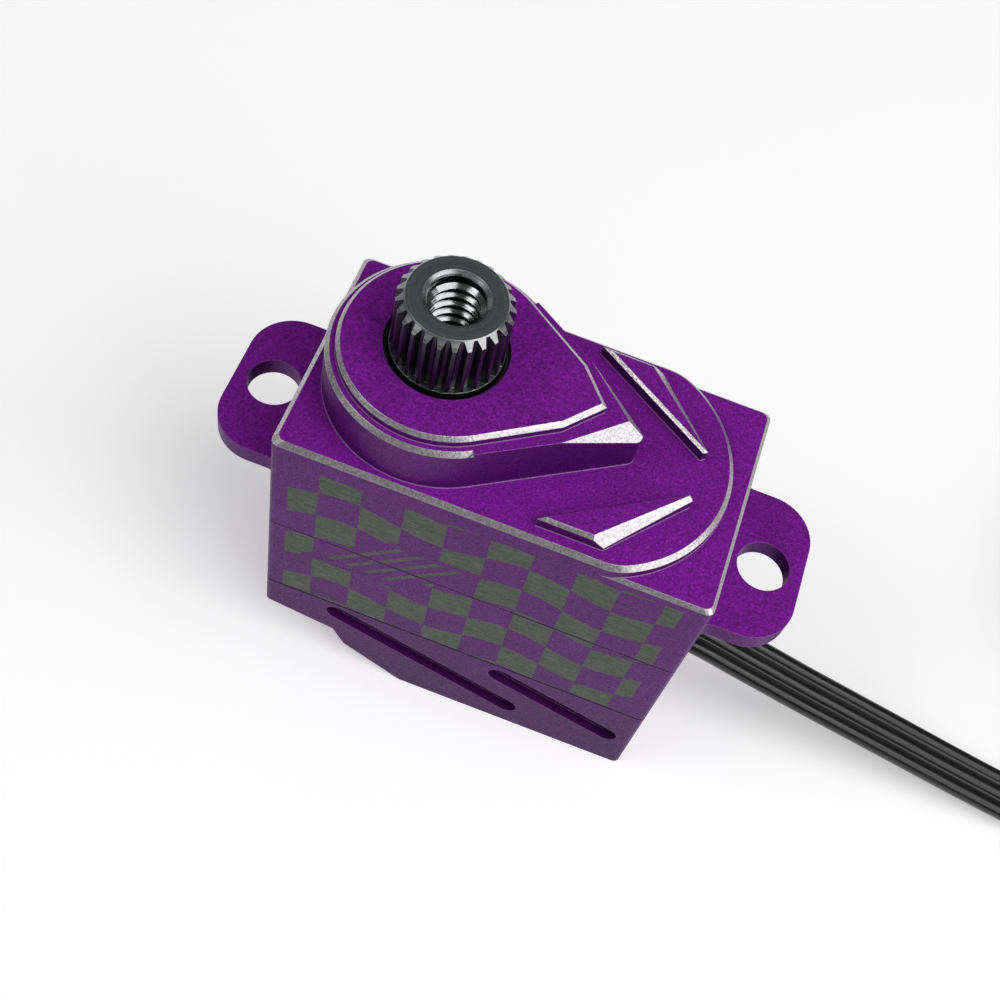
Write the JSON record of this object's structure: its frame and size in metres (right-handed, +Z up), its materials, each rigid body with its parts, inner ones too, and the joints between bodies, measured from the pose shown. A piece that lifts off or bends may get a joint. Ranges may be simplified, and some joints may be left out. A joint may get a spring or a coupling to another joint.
{
  "type": "servo motor",
  "caption": "Micro servo motor with a ribbed metal case, two mounting tabs, a splined steel output shaft, a sealed gear train and a flat three-core lead.",
  "frame": {"origin": "middle of the case's base, on the plane it stands on", "axes": "+Z up along the output shaft, +X along the case towards the end where the lead leaves, +Y across it"},
  "size_m": [0.0901, 0.0436, 0.0302],
  "materials": {
    "anodised_case": "bead-blasted purple anodising with bright diamond-cut chamfers",
    "screw_steel": "zinc-plated",
    "seal_rubber": "matt black",
    "bearing_steel": "ground",
    "output_steel": "turned and hobbed",
    "gear_steel": "hobbed",
    "gear_brass": "hobbed",
    "can_steel": "nickel-plated",
    "magnet": "nickel-plated",
    "white_plastic": "moulded",
    "copper": "enamelled and tinned",
    "black_plastic": "moulded",
    "board_laminate": "solder mask",
    "capacitor": "ceramic",
    "lead_jacket": "glossy black",
    "contact_metal": "plated"
  },
  "bodies": {
    "case": {"bottom_cover": "anodised_case", "middle_case": "anodised_case", "upper_case": "anodised_case", "case_screws": "screw_steel", "shaft_seal": "seal_rubber", "upper_bearing_outer": "bearing_steel", "lower_bearing_outer": "bearing_steel", "long_gear_pin": "screw_steel", "short_gear_pin": "screw_steel", "motor_can": "can_steel", "motor_bushing": "gear_brass", "motor_magnet": "magnet", "motor_end_cap": "white_plastic", "motor_brushes": "copper", "motor_terminals": "copper", "sensor_housing": "black_plastic", "sensor_track": "magnet", "sensor_pins": "copper", "control_board": "board_laminate", "controller_chip": "black_plastic", "driver_chips": "black_plastic", "board_capacitors": "capacitor", "lead_wire_ends": "lead_jacket", "lead_grommet": "seal_rubber", "lead": "lead_jacket", "lead_coil": "lead_jacket", "lead_tail": "lead_jacket", "connector_housing": "black_plastic", "connector_contacts": "contact_metal"},
    "output": {"output_shaft": "output_steel", "output_gear": "gear_brass", "upper_bearing_inner": "bearing_steel", "upper_bearing_balls": "bearing_steel", "lower_bearing_inner": "bearing_steel", "lower_bearing_balls": "bearing_steel", "sensor_wiper": "white_plastic"},
    "first_idler": {"first_idler_wheel": "gear_brass", "first_idler_pinion": "gear_steel"},
    "second_idler": {"second_idler_wheel": "gear_steel", "second_idler_pinion": "gear_steel"},
    "third_idler": {"third_idler_wheel": "gear_steel", "third_idler_pinion": "gear_steel"},
    "rotor": {"motor_shaft": "screw_steel", "motor_winding": "copper", "motor_commutator": "copper", "motor_pinion": "gear_brass"}
  },
  "joints": [
    {"name": "output_turn", "type": "hinge", "parent": "case", "child": "output", "pos_m": [-0.0053, 0, 0.024], "axis": [0, 0, 1], "range_deg": [-90, 90]},
    {"name": "third_idler_spin", "type": "hinge", "parent": "case", "child": "third_idler", "pos_m": [0.00051, 0.0007, 0.018], "axis": [0, 0, 1], "range_deg": [-262, 262]},
    {"name": "second_idler_spin", "type": "hinge", "parent": "case", "child": "second_idler", "pos_m": [0.0047, -0.00153, 0.017], "axis": [0, 0, 1], "range_deg": [-732, 732]},
    {"name": "first_idler_spin", "type": "hinge", "parent": "case", "child": "first_idler", "pos_m": [0.00051, 0.0007, 0.016], "axis": [0, 0, 1], "range_deg": [-2048, 2048]},
    {"name": "rotor_spin", "type": "hinge", "parent": "case", "child": "rotor", "pos_m": [0.0055, 0, 0.01], "axis": [0, 0, 1], "range_deg": [-6550, 6550]}
  ],
  "couplings": [
    {"joint": "third_idler_spin", "follows": "output_turn", "ratio": -2.9},
    {"joint": "second_idler_spin", "follows": "output_turn", "ratio": 8.12},
    {"joint": "first_idler_spin", "follows": "output_turn", "ratio": -22.736},
    {"joint": "rotor_spin", "follows": "output_turn", "ratio": 72.755}
  ]
}
